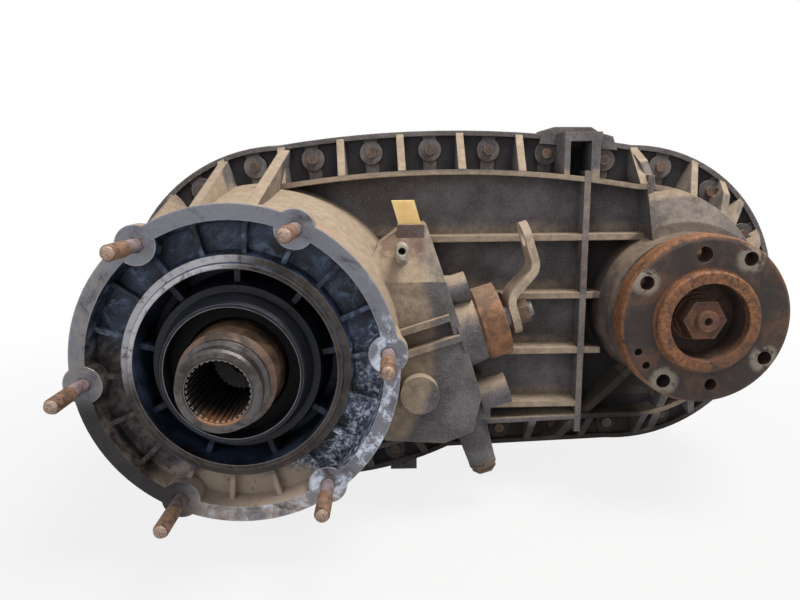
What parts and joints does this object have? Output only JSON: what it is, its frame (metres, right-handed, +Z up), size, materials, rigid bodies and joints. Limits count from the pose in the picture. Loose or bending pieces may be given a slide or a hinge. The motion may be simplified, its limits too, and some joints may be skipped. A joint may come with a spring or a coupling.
{
  "type": "transfer case",
  "caption": "Chain-driven two-speed transfer case with ribbed cast casing, planetary low range, splined input, flanged front output, shift lever and sliding-yoke rear output",
  "frame": {"origin": "centre of the round input mounting face, on the input shaft's axis", "axes": "+X towards the front output shaft, +Y rearwards along the shafts, +Z up"},
  "size_m": [0.5601, 0.4155, 0.304],
  "materials": {
    "case_aluminium": "rough sand-cast, weathered, dusty",
    "rusty_steel": "rusted",
    "dusty_steel": "bare steel under dust",
    "dark_steel": "dark, oily, bright where worn",
    "gear_steel": "ground and oiled",
    "bearing_steel": "ground",
    "cast_iron": "as cast",
    "fork_aluminium": "die-cast",
    "seal_rubber": "moulded",
    "bush_bronze": "sintered",
    "plated_steel": "zinc plated, dusty",
    "yellow_plastic": "aged translucent",
    "black_plastic": "moulded"
  },
  "bodies": {
    "casing": {"front_case": "case_aluminium", "rear_case": "case_aluminium", "rear_retainer": "case_aluminium", "extension_housing": "case_aluminium", "speed_sensor": "black_plastic", "oil_plugs": "plated_steel", "case_bolts": "rusty_steel", "retainer_bolts": "rusty_steel", "extension_bolts": "rusty_steel", "input_studs": "rusty_steel", "input_bearing": "bearing_steel", "rear_bearing": "bearing_steel", "output_front_bearing": "bearing_steel", "output_rear_bearing": "bearing_steel", "input_retainer": "dark_steel", "input_seal": "seal_rubber", "output_seal": "seal_rubber", "rear_seal": "seal_rubber", "rear_bushing": "bush_bronze", "output_snap_ring": "bearing_steel", "ring_gear": "gear_steel", "shift_rail": "gear_steel", "sector_collar": "rusty_steel", "sector_seal": "seal_rubber", "detent_ball": "bearing_steel", "detent_spring": "bearing_steel", "detent_plug": "rusty_steel", "vent_tube": "plated_steel", "harness_clip": "yellow_plastic", "oil_pump_body": "cast_iron", "pickup_tube": "plated_steel", "pickup_screen": "black_plastic", "sump_magnet": "cast_iron", "chain": "gear_steel"},
    "input": {"input_shaft": "dark_steel", "pilot_bearing": "bearing_steel"},
    "carrier": {"planet_carrier": "cast_iron", "planet_pins": "gear_steel"},
    "planet_1": {"planet_gear_1": "gear_steel"},
    "planet_2": {"planet_gear_2": "gear_steel"},
    "planet_3": {"planet_gear_3": "gear_steel"},
    "planet_4": {"planet_gear_4": "gear_steel"},
    "main_shaft": {"main_shaft": "dark_steel", "mode_hub": "gear_steel", "main_snap_ring": "bearing_steel", "oil_pump_rotor": "gear_steel"},
    "range_hub": {"range_hub": "gear_steel"},
    "mode_sleeve": {"mode_sleeve": "gear_steel"},
    "drive_sprocket": {"drive_sprocket": "gear_steel"},
    "front_output": {"front_output_shaft": "rusty_steel", "driven_sprocket": "gear_steel", "front_output_flange": "rusty_steel", "flange_washer": "rusty_steel", "flange_nut": "rusty_steel", "output_slinger": "rusty_steel"},
    "shift_lever": {"sector_shaft": "dark_steel", "shift_lever": "dusty_steel", "lever_nut": "rusty_steel"},
    "range_fork": {"range_fork": "fork_aluminium"},
    "mode_fork": {"mode_fork": "fork_aluminium"}
  },
  "joints": [
    {"name": "input_spin", "type": "hinge", "parent": "casing", "child": "input", "pos_m": [0, 0, 0], "axis": [0, 1, 0], "continuous": true},
    {"name": "carrier_spin", "type": "hinge", "parent": "casing", "child": "carrier", "pos_m": [0, 0, 0], "axis": [0, 1, 0], "continuous": true},
    {"name": "planet_1_spin", "type": "hinge", "parent": "carrier", "child": "planet_1", "pos_m": [0.0595, 0, 0], "axis": [0, 1, 0], "continuous": true},
    {"name": "planet_2_spin", "type": "hinge", "parent": "carrier", "child": "planet_2", "pos_m": [0, 0, 0.0595], "axis": [0, 1, 0], "continuous": true},
    {"name": "planet_3_spin", "type": "hinge", "parent": "carrier", "child": "planet_3", "pos_m": [-0.0595, 0, 0], "axis": [0, 1, 0], "continuous": true},
    {"name": "planet_4_spin", "type": "hinge", "parent": "carrier", "child": "planet_4", "pos_m": [0, 0, -0.0595], "axis": [0, 1, 0], "continuous": true},
    {"name": "main_spin", "type": "hinge", "parent": "casing", "child": "main_shaft", "pos_m": [0, 0, 0], "axis": [0, 1, 0], "continuous": true},
    {"name": "drive_sprocket_spin", "type": "hinge", "parent": "casing", "child": "drive_sprocket", "pos_m": [0, 0, 0], "axis": [0, 1, 0], "continuous": true},
    {"name": "front_output_spin", "type": "hinge", "parent": "casing", "child": "front_output", "pos_m": [0.33337, 0, 0.0145], "axis": [0, 1, 0], "continuous": true, "deforming": ["chain"]},
    {"name": "lever_swing", "type": "hinge", "parent": "casing", "child": "shift_lever", "pos_m": [0.179, 0.086, 0.01], "axis": [0.9563, 0, 0.2924], "range_deg": [-9, 38]},
    {"name": "range_fork_slide", "type": "slide", "parent": "casing", "child": "range_fork", "axis": [0, 1, 0], "range_m": [-0.00446, 0.01878]},
    {"name": "range_hub_slide", "type": "slide", "parent": "main_shaft", "child": "range_hub", "axis": [0, 1, 0], "range_m": [-0.00446, 0.01878]},
    {"name": "mode_fork_slide", "type": "slide", "parent": "casing", "child": "mode_fork", "axis": [0, 1, 0], "range_m": [0, 0.009]},
    {"name": "mode_sleeve_slide", "type": "slide", "parent": "main_shaft", "child": "mode_sleeve", "axis": [0, 1, 0], "range_m": [0, 0.009]}
  ],
  "couplings": [
    {"joint": "carrier_spin", "follows": "input_spin", "ratio": 0.36765},
    {"joint": "planet_1_spin", "follows": "input_spin", "ratio": -1.7565},
    {"joint": "planet_2_spin", "follows": "input_spin", "ratio": -1.7565},
    {"joint": "planet_3_spin", "follows": "input_spin", "ratio": -1.7565},
    {"joint": "planet_4_spin", "follows": "input_spin", "ratio": -1.7565},
    {"joint": "main_spin", "follows": "input_spin", "ratio": 1},
    {"joint": "drive_sprocket_spin", "follows": "input_spin", "ratio": 1},
    {"joint": "front_output_spin", "follows": "input_spin", "ratio": 1},
    {"joint": "range_fork_slide", "follows": "lever_swing", "m_per_rad": 0.0283},
    {"joint": "range_hub_slide", "follows": "lever_swing", "m_per_rad": 0.0283},
    {"joint": "mode_sleeve_slide", "follows": "mode_fork_slide", "ratio": 1}
  ]
}
